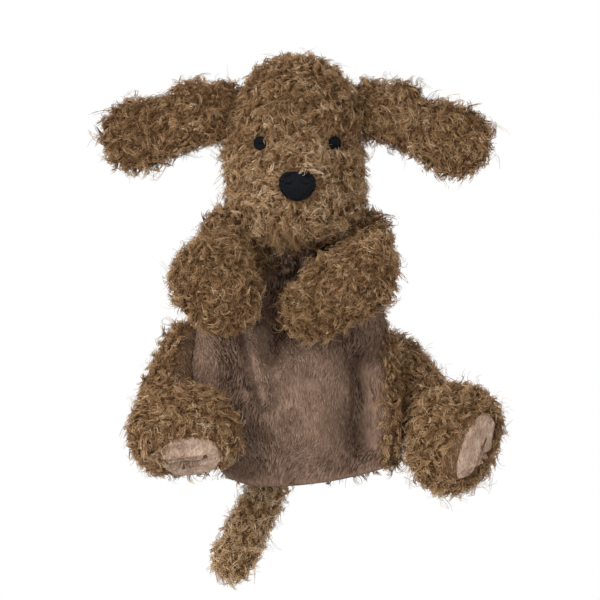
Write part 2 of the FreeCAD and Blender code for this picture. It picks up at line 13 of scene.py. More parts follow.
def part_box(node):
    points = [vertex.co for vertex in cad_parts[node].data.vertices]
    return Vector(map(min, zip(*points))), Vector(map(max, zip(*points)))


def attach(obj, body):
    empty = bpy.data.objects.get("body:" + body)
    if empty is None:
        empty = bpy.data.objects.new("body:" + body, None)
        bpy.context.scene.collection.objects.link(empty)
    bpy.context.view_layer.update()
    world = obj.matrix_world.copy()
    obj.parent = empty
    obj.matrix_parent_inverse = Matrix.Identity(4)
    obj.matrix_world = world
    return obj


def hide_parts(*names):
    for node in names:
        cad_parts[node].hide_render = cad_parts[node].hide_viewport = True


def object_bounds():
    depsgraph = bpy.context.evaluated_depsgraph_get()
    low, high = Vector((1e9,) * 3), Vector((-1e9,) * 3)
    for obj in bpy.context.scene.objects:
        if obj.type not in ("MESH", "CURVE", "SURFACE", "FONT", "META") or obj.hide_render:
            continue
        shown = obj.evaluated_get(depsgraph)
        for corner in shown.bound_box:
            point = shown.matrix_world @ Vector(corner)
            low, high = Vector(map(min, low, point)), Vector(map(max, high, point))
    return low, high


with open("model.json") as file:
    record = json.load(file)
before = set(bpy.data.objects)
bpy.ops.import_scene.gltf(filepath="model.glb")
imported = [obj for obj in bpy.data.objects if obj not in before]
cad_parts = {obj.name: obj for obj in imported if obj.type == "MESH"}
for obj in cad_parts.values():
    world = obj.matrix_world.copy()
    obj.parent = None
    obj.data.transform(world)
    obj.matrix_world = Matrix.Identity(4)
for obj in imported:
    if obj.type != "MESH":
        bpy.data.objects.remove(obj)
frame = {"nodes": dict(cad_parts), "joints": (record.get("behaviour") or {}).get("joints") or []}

MM = 0.001
scene = bpy.context.scene
cad_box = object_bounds()
pivot = {joint["name"]: Vector(joint["pos_m"]) for joint in frame["joints"]}
SIDES = ("left", "right")


def link(name, data):
    piece = bpy.data.objects.new(name, data)
    scene.collection.objects.link(piece)
    return piece


def middle_of(node):
    low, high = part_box(node)
    return (low + high) / 2


# -------- camera

FIELD = 360 * MM  # how much of the puppet's own plane the picture spans
LENS = 300.0
SENSOR = 36.0
view_centre = Vector((-2.4 * MM, 0, 111.6 * MM))

camera_data = bpy.data.cameras.new("portrait_camera")
camera_data.lens = LENS
camera_data.sensor_width = SENSOR
camera_data.clip_end = 20
camera = link("portrait_camera", camera_data)
camera.location = view_centre + Vector((0, -FIELD * LENS / SENSOR, 0))
camera.rotation_euler = (pi / 2, 0, 0)
scene.camera = camera

# -------- finishes


class Signal:
    """A shader socket; arithmetic on it adds Math nodes to its own finish."""

    def __init__(self, finish, socket):
        self.finish = finish
        self.socket = socket

    def math(self, operation, first, second):
        return self.finish.add("ShaderNodeMath", {"operation": operation}, {0: first, 1: second})

    def __add__(self, other):
        return self.math("ADD", self, other)

    def __sub__(self, other):
        return self.math("SUBTRACT", self, other)

    def __mul__(self, other):
        return self.math("MULTIPLY", self, other)


class Finish:
    """A material, or the world's shader, that is built up node by node."""

    def __init__(self, holder):
        self.holder = holder
        holder.use_nodes = True
        self.tree = holder.node_tree
        self.tree.nodes.clear()

    def add(self, kind, settings=None, sockets=None, output=0):
        """A node of this kind: its settings first, then its sockets; gives one output."""
        node = self.tree.nodes.new(kind)
        for name, value in (settings or {}).items():
            if name == "stops":
                self.set_stops(node.color_ramp, value)
            else:
                setattr(node, name, value)
        for name, value in (sockets or {}).items():
            if isinstance(value, Signal):
                self.tree.links.new(value.socket, node.inputs[name])
            else:
                node.inputs[name].default_value = value
        return Signal(self, node.outputs[output] if node.outputs else None)

    def set_stops(self, ramp, stops):
        while len(ramp.elements) < len(stops):
            ramp.elements.new(0.5)
        for element, (place, colour) in zip(ramp.elements, stops):
            element.position = place
            element.color = (*colour, 1)

    def ramp(self, value, stops):
        return self.add("ShaderNodeValToRGB", {"stops": stops}, {"Fac": value})

    def place(self, stretch):
        """The object's own coordinates in millimetres, stretched along each axis."""
        spot = self.add("ShaderNodeTexCoord", output="Object")
        scale = tuple(1000 * share for share in stretch)
        return self.add("ShaderNodeMapping", {}, {"Vector": spot, "Scale": scale})

    def clouds(self, size, detail, stretch=(1, 1, 1), roughness=0.5, swirl=0.0):
        """Soft noise whose lumps are about this many millimetres across."""
        return self.add("ShaderNodeTexNoise", {}, {
            "Vector": self.place(stretch), "Scale": 1 / size, "Detail": detail,
            "Roughness": roughness, "Distortion": swirl})

    def bump(self, height, depth):
        return self.add("ShaderNodeBump", {}, {
            "Height": height, "Distance": depth * MM, "Strength": 1.0})

    def surface(self, **sockets):
        """The shader itself; socket names use underscores for spaces."""
        named = {name.replace("_", " "): value for name, value in sockets.items()}
        shader = self.add("ShaderNodeBsdfPrincipled", {}, named)
        self.add("ShaderNodeOutputMaterial", {}, {"Surface": shader})
        return self.holder


def new_finish(name):
    return Finish(bpy.data.materials.new(name))


def pile_finish():
    """Curly fibres, dark at the root; the tone of each fibre is stored on its points."""
    finish = new_finish("curly_pile_fibre")
    tone = finish.add("ShaderNodeAttribute", {"attribute_name": "tone"}, output="Fac")
    patches = finish.clouds(14, detail=2)
    shade = tone + (patches - 0.5) * 0.35
    colour = finish.ramp(shade, [
        (0.00, (0.095, 0.046, 0.018)), (0.30, (0.250, 0.133, 0.056)),
        (0.55, (0.450, 0.266, 0.126)), (0.80, (0.680, 0.460, 0.255)),
        (1.00, (0.900, 0.730, 0.520))])
    return finish.surface(Base_Color=colour, Roughness=0.62, Specular_IOR_Level=0.25)


def backing_finish():
    """The close, dark fleece between the curls."""
    finish = new_finish("curly_pile_backing")
    shade = finish.clouds(1.6, detail=5, roughness=0.65)
    colour = finish.ramp(shade, [(0.30, (0.070, 0.036, 0.017)), (0.52, (0.170, 0.094, 0.045)),
                                 (0.72, (0.330, 0.200, 0.105))])
    return finish.surface(Base_Color=colour, Roughness=0.9, Specular_IOR_Level=0.15,
                          Normal=finish.bump(shade, 1.2))


def velour_finish(name, shadow, middle, light, streak):
    """Short brushed pile: fine streaks that run down the cloth, over broad soft patches."""
    finish = new_finish(name)
    fine = finish.clouds(streak, detail=4, stretch=(1, 1, 0.32), roughness=0.6, swirl=0.3)
    broad = finish.clouds(streak * 9, detail=2)
    tone = fine * 0.6 + broad * 0.4
    colour = finish.ramp(tone, [(0.36, shadow), (0.5, middle), (0.64, light)])
    return finish.surface(Base_Color=colour, Roughness=0.85, Specular_IOR_Level=0.2,
                          Normal=finish.bump(fine, 0.7))


def nap_finish(name, root, middle, tip):
    """The lying pile of velour; the tone of each small lock is stored on its points."""
    finish = new_finish(name)
    tone = finish.add("ShaderNodeAttribute", {"attribute_name": "tone"}, output="Fac")
    shade = tone + (finish.clouds(9, detail=2) - 0.5) * 0.3
    colour = finish.ramp(shade, [(0.0, root), (0.5, middle), (1.0, tip)])
    return finish.surface(Base_Color=colour, Roughness=0.85, Specular_IOR_Level=0.15)


def lining_finish():
    finish = new_finish("lining_weave")
    grain = finish.clouds(0.7, detail=2)
    colour = finish.ramp(grain, [(0.35, (0.10, 0.065, 0.045)), (0.65, (0.19, 0.13, 0.09))])
    return finish.surface(Base_Color=colour, Roughness=0.9, Normal=finish.bump(grain, 0.2))


def thread_finish(name, dark, light):
    """Tight, slightly shiny stitching."""
    finish = new_finish(name)
    grain = finish.clouds(0.5, detail=3)
    colour = finish.ramp(grain, [(0.3, dark), (0.7, light)])
    return finish.surface(Base_Color=colour, Roughness=0.75, Specular_IOR_Level=0.12,
                          Normal=finish.bump(grain, 0.1))


curly_pile = pile_finish()
curly_backing = backing_finish()
belly_velour = velour_finish("belly_velour", (0.105, 0.061, 0.040), (0.195, 0.121, 0.084),
                             (0.285, 0.188, 0.134), 1.4)
sole_velour = velour_finish("sole_velour", (0.20, 0.120, 0.080), (0.44, 0.300, 0.218),
                            (0.68, 0.505, 0.390), 1.3)
belly_nap = nap_finish("belly_nap", (0.044, 0.025, 0.015), (0.180, 0.112, 0.077),
                       (0.395, 0.270, 0.198))
# a darker copy of the belly's nap: painted shade for the velour strip beside the left leg
painted_shade_nap = nap_finish("painted_shade_nap", (0.050, 0.028, 0.017), (0.150, 0.092, 0.060),
                        (0.300, 0.196, 0.136))
sole_nap = nap_finish("sole_nap", (0.200, 0.120, 0.082), (0.500, 0.345, 0.252),
                      (0.780, 0.590, 0.460))
lining_weave = lining_finish()
dark_thread = thread_finish("navy_black_thread", (0.002, 0.003, 0.004), (0.007, 0.008, 0.011))
mouth_thread = thread_finish("brown_black_thread", (0.02, 0.012, 0.007), (0.05, 0.03, 0.018))

# -------- meshes


def dress(piece, finish, body, slot, *nodes):
    """Give a piece its finish and its place on the puppet, and hide the CAD nodes it stands for."""
    piece.data.materials.clear()
    piece.data.materials.append(finish)
    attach(piece, body)
    if nodes:
        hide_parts(*nodes)
    return piece


def settle(piece):
    """Work the modifiers into the mesh."""
    graph = bpy.context.evaluated_depsgraph_get()
    mesh = bpy.data.meshes.new_from_object(piece.evaluated_get(graph))
    piece.modifiers.clear()
    piece.data = mesh
    return mesh


def points_of(mesh):
    spots = np.empty(len(mesh.vertices) * 3)
    mesh.vertices.foreach_get("co", spots)
    return spots.reshape(-1, 3)


def normals_of(mesh):
    normals = np.empty(len(mesh.vertices) * 3)
    mesh.vertex_normals.foreach_get("vector", normals)
    return normals.reshape(-1, 3)


def move_points(mesh, spots):
    mesh.vertices.foreach_set("co", spots.ravel())
    mesh.update()


def triangles_of(mesh):
    mesh.calc_loop_triangles()
    corners = np.empty(len(mesh.loop_triangles) * 3, dtype=np.int32)
    mesh.loop_triangles.foreach_get("vertices", corners)
    return corners.reshape(-1, 3)


def tree_of(*nodes):
    """A search tree over the surfaces of some CAD nodes."""
    form = bmesh.new()
    for node in nodes:
        form.from_mesh(frame["nodes"][node].data)
    tree = BVHTree.FromBMesh(form)
    form.free()
    return tree


def nearest_node(places, nodes):
    """The number of the CAD node whose surface is nearest to each place."""
    trees = [tree_of(node) for node in nodes]
    reach = [[tree.find_nearest(Vector(place))[3] for tree in trees] for place in places]
    return np.argmin(np.array(reach), axis=1)


def closed_skin(name, nodes, voxel, rounds, eggs=()):
    """One closed skin round some CAD nodes and egg shapes, with the steps rubbed away."""
    form = bmesh.new()
    for node in nodes:
        form.from_mesh(frame["nodes"][node].data)
    for centre, halves in eggs:
        place = Matrix.Translation(centre) @ Matrix.Diagonal((*halves, 1))
        bmesh.ops.create_uvsphere(form, u_segments=32, v_segments=20, radius=1, matrix=place)
    mesh = bpy.data.meshes.new(name)
    form.to_mesh(mesh)
    form.free()
    piece = link(name, mesh)
    remesh = piece.modifiers.new("even", "REMESH")
    remesh.mode = "VOXEL"
    remesh.voxel_size = voxel
    smooth = piece.modifiers.new("rub", "SMOOTH")
    smooth.factor = 0.5
    smooth.iterations = rounds
    settle(piece)
    return piece


AIR_FRAMES = 20  # for how long the air blows


def puff(skins, cap):
    """Blow stuffed skins up together as cloth under air pressure, each point at most this far."""
    for skin in skins:
        cloth = skin.modifiers.new("air", "CLOTH")
        cloth.settings.use_pressure = True
        cloth.settings.uniform_pressure_force = 4
        cloth.settings.effector_weights.gravity = 0
        cloth.collision_settings.use_collision = False
    for number in range(1, AIR_FRAMES + 1):
        scene.frame_set(number)
    for skin in skins:
        before = points_of(skin.data)
        mesh = settle(skin)
        moved = points_of(mesh) - before
        far = np.linalg.norm(moved, axis=1, keepdims=True)
        move_points(mesh, before + moved * np.minimum(1, cap / np.maximum(far, 1e-9)))
    scene.frame_set(1)
    for skin in skins:
        skin.modifiers.new("round", "SUBSURF").levels = 1
        settle(skin).shade_smooth()


# -------- curly pile

MOST_FACES = 196000  # the most faces in one piece; in one piece, so that it is exported whole
FIBRE_SIDES = 3
ROOT_DEPTH = 0.8 * MM  # how deep a lock's root sits in its skin
SHORTEST = 0.62  # the pile's height at the edge of a clear spot, as a share of its full height
LOOSE_SHARE = 0.12  # the share of fibres that stand away from their lock
LOOSE_OPENING = 1.9  # how far they open from it towards their tips
LOCK_CLOSING = -0.45  # how the other fibres of a lock draw together
CROWDING = 3.2  # how many places are tried on each square of the spacing
NEAREST = 0.72  # how close two places may lie, as a share of the spacing
SWIRLS = 28  # how many times in a metre the velour's nap swirls
DOWN = np.array([0.0, 0.0, -1.0])
FACE_MIDDLE = np.array([-6.0, -34.0, 170.0])  # the middle of the face's painted light, in millimetres
FACE_REACH = np.array([46.0, 34.0, 24.0])
# how much painted light lifts the pile's tone in the middle of the face
FACE_PAINTED_LIGHT = 0.20


class Pile(NamedTuple):
    """One kind of curly pile; lengths are in millimetres."""

    height: float
    spacing: float
    hairs: int  # fibres in a lock
    steps: int  # places along a fibre
    droop: float  # how much more a lock leans down than any other way
    curl: float
    thick: float
    light: float  # the tone at the roots


def unit(vectors):
    return vectors / np.maximum(np.linalg.norm(vectors, axis=-1, keepdims=True), 1e-9)


def along_surface(pull, facing):
    """The part of a pull that lies along the surface."""
    return pull - facing * np.sum(pull * facing, axis=1, keepdims=True)


def scatter(mesh, spacing, rng):
    """Points on a mesh about this far apart, with the surface's normal at each.

    Many are tried at random, and one is kept where none kept before it is near."""
    spots, normals, corners = points_of(mesh), normals_of(mesh), triangles_of(mesh)
    a, b, c = (spots[corners[:, number]] for number in range(3))
    areas = np.linalg.norm(np.cross(b - a, c - a), axis=1) / 2
    count = int(CROWDING * areas.sum() / spacing ** 2)
    picked = rng.choice(len(areas), size=count, p=areas / areas.sum())
    u, v = rng.random(count), rng.random(count)
    fold = u + v > 1
    u[fold], v[fold] = 1 - u[fold], 1 - v[fold]
    weights = np.stack([1 - u - v, u, v], axis=1)[:, :, None]
    places = (spots[corners[picked]] * weights).sum(axis=1)
    facing = unit((normals[corners[picked]] * weights).sum(axis=1))
    taken = {}
    kept = []
    for index, cell in enumerate(map(tuple, np.floor(places / spacing).astype(int))):
        near = [taken[key] for x in (-1, 0, 1) for y in (-1, 0, 1) for z in (-1, 0, 1)
                if (key := (cell[0] + x, cell[1] + y, cell[2] + z)) in taken]
        if all(np.sum((places[index] - places[other]) ** 2) > (NEAREST * spacing) ** 2
               for other in near):
            taken[cell] = index
            kept.append(index)
    return places[kept], facing[kept]


def drawn(rng, count, low, high):
    """A column of random numbers, one for each of some locks or fibres."""
    return rng.uniform(low, high, (count, 1))


def lock_lines(places, facing, tall, rng, pile, away):
    """The middle line of each lock, which rises, leans over and coils, and its sideways axes."""
    count = len(places)
    side = unit(np.cross(facing, unit(rng.normal(size=(count, 3)))))
    across = np.cross(facing, side)
    turn = drawn(rng, count, 0, tau)
    lean = unit(side * np.cos(turn) + across * np.sin(turn)
                + pile.droop * along_surface(DOWN, facing) + along_surface(away, facing))
    hook = np.cross(facing, lean)
    t = np.linspace(0, 1, pile.steps)[None, :, None]
    # how far it rises, leans and coils, as shares of the pile's height, and how often it turns
    rise = tall * drawn(rng, count, 0.6, 1.1)
    reach = tall * drawn(rng, count, 0.3, 1.1)
    swing = tall * drawn(rng, count, 0.10, 0.34) * pile.curl
    turns = drawn(rng, count, 0.5, 1.5) * rng.choice([-1, 1], (count, 1))
    start = drawn(rng, count, 0, tau)
    # an arch away from the skin, and a coil round it that widens from its root
    up = (facing * rise)[:, None] * (1.5 * t - 0.6 * t ** 2)
    over = (lean * reach)[:, None] * t ** 1.5
    angle = start[:, None] + tau * turns[:, None] * t
    wide = swing[:, None] * np.minimum(1, 1.6 * t)
    coil = wide * (lean[:, None] * np.cos(angle) + hook[:, None] * np.sin(angle)
                   + facing[:, None] * 0.5 * np.sin(angle + 1.1))
    roots = (places - facing * ROOT_DEPTH)[:, None]
    return roots + up + over + coil - coil[:, :1], side, across


def grow_locks(places, facing, tall, rng, pile, away):
    """The lines of fibres, and the lock that each is in: a lock's fibres curl together."""
    middle, side, across = lock_lines(places, facing, tall, rng, pile, away)
    t = np.linspace(0, 1, pile.steps)[None, :, None]
    owner = np.repeat(np.arange(len(places)), pile.hairs)
    total = len(owner)
    # each fibre starts beside its lock's middle and keeps its own length and wave
    ring = drawn(rng, total, 0, tau)
    far = tall[owner] * 0.24 * np.sqrt(drawn(rng, total, 0, 1)) + 0.25 * MM
    spread = side[owner] * np.cos(ring) * far + across[owner] * np.sin(ring) * far
    opening = np.where(rng.random((total, 1)) < LOOSE_SHARE, LOOSE_OPENING, LOCK_CLOSING)
    scale = drawn(rng, total, 0.72, 1.08)
    lines = middle[owner, :1] + (middle[owner] - middle[owner, :1]) * scale[:, None]
    lines = lines + spread[:, None] * (1 + opening[:, None] * t)
    start = drawn(rng, total, 0, tau)[:, None]
    phase = start + tau * drawn(rng, total, 0.8, 1.8)[:, None] * t
    wave = tall[owner][:, None] * drawn(rng, total, 0.03, 0.10)[:, None] * np.minimum(1, 2 * t)
    lines = lines + wave * (side[owner][:, None] * np.cos(phase)
                            + across[owner][:, None] * np.sin(phase))
    return lines, owner


def fibre_mesh(name, lines, radii, tones, sides):
    """Closed tapering tubes round many lines at once, each with its tone along it."""
    count, steps, _ = lines.shape
    ahead = unit(np.gradient(lines, axis=1))
    level = np.abs(ahead[:, :1, 2:]) < 0.8
    helper = np.where(level, [[[0.0, 0.0, 1.0]]], [[[1.0, 0.0, 0.0]]])
    side = unit(np.cross(ahead, np.broadcast_to(helper, ahead.shape)))
    other = np.cross(ahead, side)
    angles = np.arange(sides)[:, None] * tau / sides
    ring = side[:, :, None] * np.cos(angles) + other[:, :, None] * np.sin(angles)
    spots = lines[:, :, None] + ring * radii[:, :, None, None]
    base = np.arange(count)[:, None, None] * steps * sides
    near = base + np.arange(steps - 1)[None, :, None] * sides
    face = np.arange(sides)[None, None, :]
    following = (face + 1) % sides
    quads = np.stack([near + face, near + following, near + sides + following,
                      near + sides + face], axis=-1).reshape(-1, 4)
    last = (steps - 1) * sides
    rim = np.arange(sides)
    caps = np.concatenate([base[:, 0] + rim[::-1], base[:, 0] + last + rim])
    mesh = bpy.data.meshes.new(name)
    mesh.vertices.add(count * steps * sides)
    mesh.vertices.foreach_set("co", spots.ravel())
    mesh.loops.add(quads.size + caps.size)
    mesh.loops.foreach_set("vertex_index", np.concatenate([quads.ravel(), caps.ravel()]))
    mesh.polygons.add(len(quads) + len(caps))
    mesh.polygons.foreach_set("loop_start", np.concatenate([
        np.arange(len(quads)) * 4, quads.size + np.arange(len(caps)) * sides]))
    mesh.update(calc_edges=True)
    mesh.shade_smooth()
    tone = mesh.attributes.new("tone", "FLOAT", "POINT")
    tone.data.foreach_set("value", np.repeat(tones, sides, axis=1).ravel())
    lay_out(mesh, count, steps, sides)
    return mesh


def lay_out(mesh, count, steps, sides):
    """Give every fibre its own cell of the unwrapped sheet, so its tones can be kept."""
    columns = int(np.ceil(np.sqrt(count)))
    cell = 1 / columns
    inset = 0.12 * cell
    usable = cell - 2 * inset
    corner = np.stack([np.arange(count) % columns, np.arange(count) // columns], axis=1) * cell
    shape = (steps - 1, sides)
    left = np.broadcast_to(inset + usable * np.arange(sides)[None, :] / sides, shape)
    low = np.broadcast_to(inset + usable * np.arange(steps - 1)[:, None] / (steps - 1), shape)
    right = left + usable / sides
    high = low + usable / (steps - 1)
    sheet = np.stack([np.stack([left, right, right, left], axis=-1),
                      np.stack([low, low, high, high], axis=-1)], axis=-1)
    sheet = sheet[None] + corner[:, None, None, None]
    angles = np.arange(sides) * tau / sides
    disc = inset * 0.8 * np.stack([np.cos(angles), np.sin(angles)], axis=1)
    caps = np.concatenate([corner[:, None] + inset + disc, corner[:, None] + cell - inset + disc])
    unwrapped = mesh.uv_layers.new(name="OFBake")
    unwrapped.data.foreach_set("uv", np.concatenate([sheet.ravel(), caps.ravel()]))


def add_fibres(name, lines, radii, tones, finish, body, slot, sides=FIBRE_SIDES):
    """Put fibres on a body, in as many pieces as their faces need."""
    each = 2 * sides * (lines.shape[1] - 1) + 2 * (sides - 2)  # triangles in a fibre
    most = MOST_FACES // each
    for number, first in enumerate(range(0, len(lines), most), start=1):
        part = slice(first, first + most)
        label = f"{name}_{number}"
        mesh = fibre_mesh(label, lines[part], radii[part], tones[part], sides)
        dress(link(label, mesh), finish, body, slot)


def painted_face_light(places):
    """Painted light: how much lighter the pile's tone is made round the muzzle and cheeks than on
    the crown.
    """
    apart = (places / MM - FACE_MIDDLE) / FACE_REACH
    return FACE_PAINTED_LIGHT * np.exp(-np.sum(apart ** 2, axis=1, keepdims=True))


def grow_pile(name, mesh, body, keep, seed, pile, clear=()):
    """Grow one kind of pile on the part of a skin where keep holds.

    It is shorter and leans away round each clear spot: (centre, bare radius, disturbed radius)."""
    rng = np.random.default_rng(seed)
    places, facing = scatter(mesh, pile.spacing * MM, rng)
    chosen = keep(places, facing)
    places, facing = places[chosen], facing[chosen]
    tall = np.full((len(places), 1), pile.height * MM)
    away = np.zeros_like(places)
    bare = np.zeros(len(places), dtype=bool)
    for centre, radius, reach in clear:
        apart = (places - np.array(centre)) * np.array([1, 0.35, 1])
        far = np.linalg.norm(apart, axis=1, keepdims=True)
        near = np.clip((far - radius) / (reach - radius), 0, 1)
        tall = tall * (SHORTEST + (1 - SHORTEST) * near)
        away = away + unit(apart) * (1 - near) * 2.5
        bare |= far[:, 0] < radius
    places, facing, tall, away = places[~bare], facing[~bare], tall[~bare], away[~bare]
    lines, owner = grow_locks(places, facing, tall, rng, pile, away)
    t = np.linspace(0, 1, pile.steps)[None]
    radii = drawn(rng, len(lines), 0.55, 1.0) * pile.thick * MM * (1 - 0.65 * t ** 1.5)
    # each lock's tone differs at random, and round the face it also carries painted light
    lock_light = (rng.normal(0, 0.09, (len(places), 1)) + painted_face_light(places))[owner]
    own_light = rng.random((len(lines), 1)) ** 3
    rising = pile.light + 0.40 * t + 0.42 * own_light * t
    tones = np.clip(rising + lock_light * (0.4 + t), 0, 1)
    add_fibres(name, lines, radii, tones, curly_pile, body, "curly_plush")


def comb_nap(name, mesh, finish, body, slot, keep, seed, spacing=1.5, length=2.6, thick=0.62,
             rise=None):
    """Lay the short pile of velour down on a skin, in small blunt locks that swirl a little.

    Where rise gives a fold's height in millimetres, the pile's tone carries painted shade down in
    the fold and painted light up on its ridge."""
    rng = np.random.default_rng(seed)
    places, facing = scatter(mesh, spacing * MM, rng)
    chosen = keep(places, facing)
    places, facing = places[chosen], facing[chosen]
    spots = [Vector(place) * SWIRLS for place in places]
    sway = [[noise.noise(spot), noise.noise(spot + Vector((9, 0, 0)))] for spot in spots]
    sway = np.array(sway).reshape(-1, 2)
    pull = DOWN + np.array([1.0, 0, 0]) * sway[:, :1] * 1.3 + rng.normal(0, 0.10, places.shape)
    along = unit(along_surface(pull, facing)) * (1 + 0.5 * sway[:, 1:])
    t = np.linspace(0, 1, 4)[None, :, None]
    size = drawn(rng, len(places), 0.7, 1.15) * length * MM
    lift = drawn(rng, len(places), 0.14, 0.26)
    lines = ((places - facing * 0.5 * MM)[:, None] + (along * size)[:, None] * t
             + (facing * size * lift)[:, None] * (2.2 * t - 1.3 * t ** 2))
    radii = drawn(rng, len(places), 0.8, 1.2) * thick * MM * (1 - 0.5 * t[:, :, 0] ** 2)
    tones = 0.09 + 0.78 * t[:, :, 0] * (1 - 0.4 * t[:, :, 0])
    tones = tones + rng.normal(0, 0.11, (len(places), 1))
    # painted shade where the cloth sinks into a fold, painted light where it stands up
    if rise:
        tones = tones + np.clip(0.045 * rise(places), -0.34, 0.26)[:, None]
    add_fibres(name, lines, radii, np.clip(tones, 0, 1), finish, body, slot)


def cover_in_pile(name, mesh, body, keep, seed, clear=(), height=7.0, glow=0.0):
    """A dense undercoat of short curls, with longer curled locks and a few strays out of it."""
    kinds = {
        "undercoat": Pile(height=0.62 * height, spacing=2.9, hairs=5, steps=5, droop=0.2, curl=1.5,
                          thick=0.26, light=0.12 + glow),
        "locks": Pile(height=height, spacing=3.9, hairs=9, steps=7, droop=0.4, curl=1.0,
                      thick=0.28, light=0.14 + glow),
        "strays": Pile(height=1.6 * height, spacing=10.0, hairs=3, steps=8, droop=0.3, curl=1.1,
                       thick=0.20, light=0.22 + glow),
    }
    for number, (kind, pile) in enumerate(kinds.items()):
        grow_pile(f"{name}_{kind}", mesh, body, keep, seed + 100 * number, pile, clear)


# -------- stuffed parts

VOXEL = 2.5 * MM


def part_nodes(part):
    """The CAD nodes of one of the puppet's stuffed parts: those in fur, then the rest."""
    kind, _, side = part.partition("_")
    return {
        "head": (["head_gusset", "head_side_left", "head_side_right", "chin_panel"],
                 ["head_stuffing"]),
        "ear": ([f"{part}_front", f"{part}_back"], [f"{part}_batting"]),
        "arm": ([f"{part}_top", f"{part}_palm"], [f"{part}_stall", f"{part}_stuffing"]),
        "leg": ([f"{part}_cover", f"foot_{side}_cover", f"sole_{side}"], [f"{part}_stuffing"]),
        "tail": (["tail_cover"], ["tail_stuffing"]),
        "neck": (["neck_cover"], ["neck_sleeve"]),
    }[kind]


ARM_ROOT_Z = 128  # where the velour under the arms begins to end, in millimetres


def under(places, facing):
    """Above zero where an arm faces down or towards the belly, below its root: its velour."""
    at_root = np.clip((places[:, 2] / MM - ARM_ROOT_Z) / 8, 0, 1)
    return facing @ np.array([0.0, 0.6, -0.8]) + 0.02 - 2 * at_root


def oval_reach(places, centre, long_way, halves):
    """How far out places lie in an oval as seen from the front: 0 in its middle, 1 at its rim."""
    long_way = unit(np.array(long_way))
    apart = places[:, [0, 2]] / MM - centre
    along = apart @ long_way
    across = apart @ np.array([-long_way[1], long_way[0]])
    return np.hypot(along / halves[0], across / halves[1])


SOLE_OVALS = {  # centre and long way across the front view, and half sizes, in millimetres
    "leg_left": ((-67, 19), (1, 0.05), (17, 13)),
    "leg_right": ((98, 25), (0.5, 0.87), (21.5, 11)),
}


def in_sole(part, places, facing):
    if part not in SOLE_OVALS:
        return np.zeros(len(places), dtype=bool)
    return (oval_reach(places, *SOLE_OVALS[part]) < 1) & (facing[:, 1] < 0.3)


def in_strip(part, places, facing):
    """The left leg is velour on its inner side, above the foot."""
    high = (places[:, 2] > 56 * MM) & (part == "leg_left")
    return high & (facing @ np.array([0.8, -0.6, 0]) > 0.45)


def in_velour(part, places, facing):
    return in_sole(part, places, facing) | in_strip(part, places, facing)


def egg(root, away, halves):
    """A place beside a joint and half sizes there, both in millimetres."""
    return root + Vector(away) * MM, Vector(halves) * MM


def ear_eggs(side, outward):
    """The bunched cloth round an ear's root."""
    root = pivot[f"ear_{side}_flap"]
    return [egg(root, (outward * -4, 0, 7), (11, 7, 11)), egg(root, (0, 0, -9), (10, 7, 10)),
            egg(root, (outward * 15, -1, 8), (12, 7, 11)),
            egg(root, (outward * 13, 0, -12), (11, 6, 10))]


neck = pivot["head_nod"]
left_root, right_root = pivot["arm_left_open"], pivot["arm_right_open"]
FILLING = {  # eggs that round a part out where its cloth is fuller than its CAD solids
    "head": [egg(neck, (-2.5, -4, 48), (42, 27, 27)), egg(neck, (-25, -10, 14), (18, 17, 13)),
             egg(neck, (25, -10, 14), (18, 17, 13))],
    "neck": [egg(neck, (0, -12.5, -7), (11, 3, 9))],
    "ear_left": ear_eggs("left", -1),
    "ear_right": ear_eggs("right", 1),
    "arm_left": [egg(left_root, (9, 0, 0.5), (10, 9, 9)),
                 egg(left_root, (-1, -2, 12), (12, 10, 13))],
    "arm_right": [egg(right_root, (-20, -29, -16.5), (16, 13, 13)),
                  egg(right_root, (-9, 0, 0.5), (10, 9, 9)),
                  egg(right_root, (1, -2, 10), (11, 10, 12))],
}


def draw_in(mesh):
    """Narrow the head beside the nose, more on its right, between the cheeks and the brow."""
    waist, width = 27, 14  # millimetres above the neck's joint, and how far the bend fades
    spots = points_of(mesh)
    apart = (spots[:, 0] - neck.x) / MM
    level = np.exp(-((spots[:, 2] - neck.z) / MM - waist) ** 2 / width ** 2)
    side = np.clip((np.abs(apart) - 14) / 30, 0, 1)
    squeeze = np.where(apart > 0, 7.0, 4.5) * level * side
    spots[:, 0] -= np.sign(apart) * squeeze * MM
    move_points(mesh, spots)


PARTS = {  # part: (rounds of rubbing, fullness)
    "head": (22, 0.85), "ear_left": (5, 0.5), "ear_right": (5, 0.5), "arm_left": (4, 0.7),
    "arm_right": (4, 0.7), "leg_left": (6, 0.75), "leg_right": (6, 0.75), "tail": (3, 0.7),
    "neck": (2, 0.6),
}
skins = {}
for part, (rounds, _) in PARTS.items():
    furry, hidden = part_nodes(part)
    skins[part] = closed_skin(f"{part}_skin", furry + hidden, VOXEL, rounds, FILLING.get(part, ()))
    if part == "head":
        draw_in(skins[part].data)
puff(list(skins.values()), 1.5 * MM)

PILE_GLOW = {  # how much lighter or darker some parts' pile is
    "tail": 0.24, "leg_left": 0.03, "leg_right": 0.04, "arm_left": -0.05, "arm_right": -0.03,
    "ear_left": -0.05,
}
FACE_SPOTS = (  # node, up, bare radius, radius of disturbed pile, in millimetres
    ("eye_left", 0, 4.0, 11), ("eye_right", 0, 4.2, 11), ("nose", 0, 9.3, 18),
    ("mouth_stitch", 2.6, 1.1, 4.5), ("mouth_stitch", 0, 1.1, 4.5),
    ("mouth_stitch", -2.6, 1.1, 4.5),
)
face_spots = [(middle_of(node) + Vector((0, 0, up)) * MM, bare * MM, reach * MM)
              for node, up, bare, reach in FACE_SPOTS]


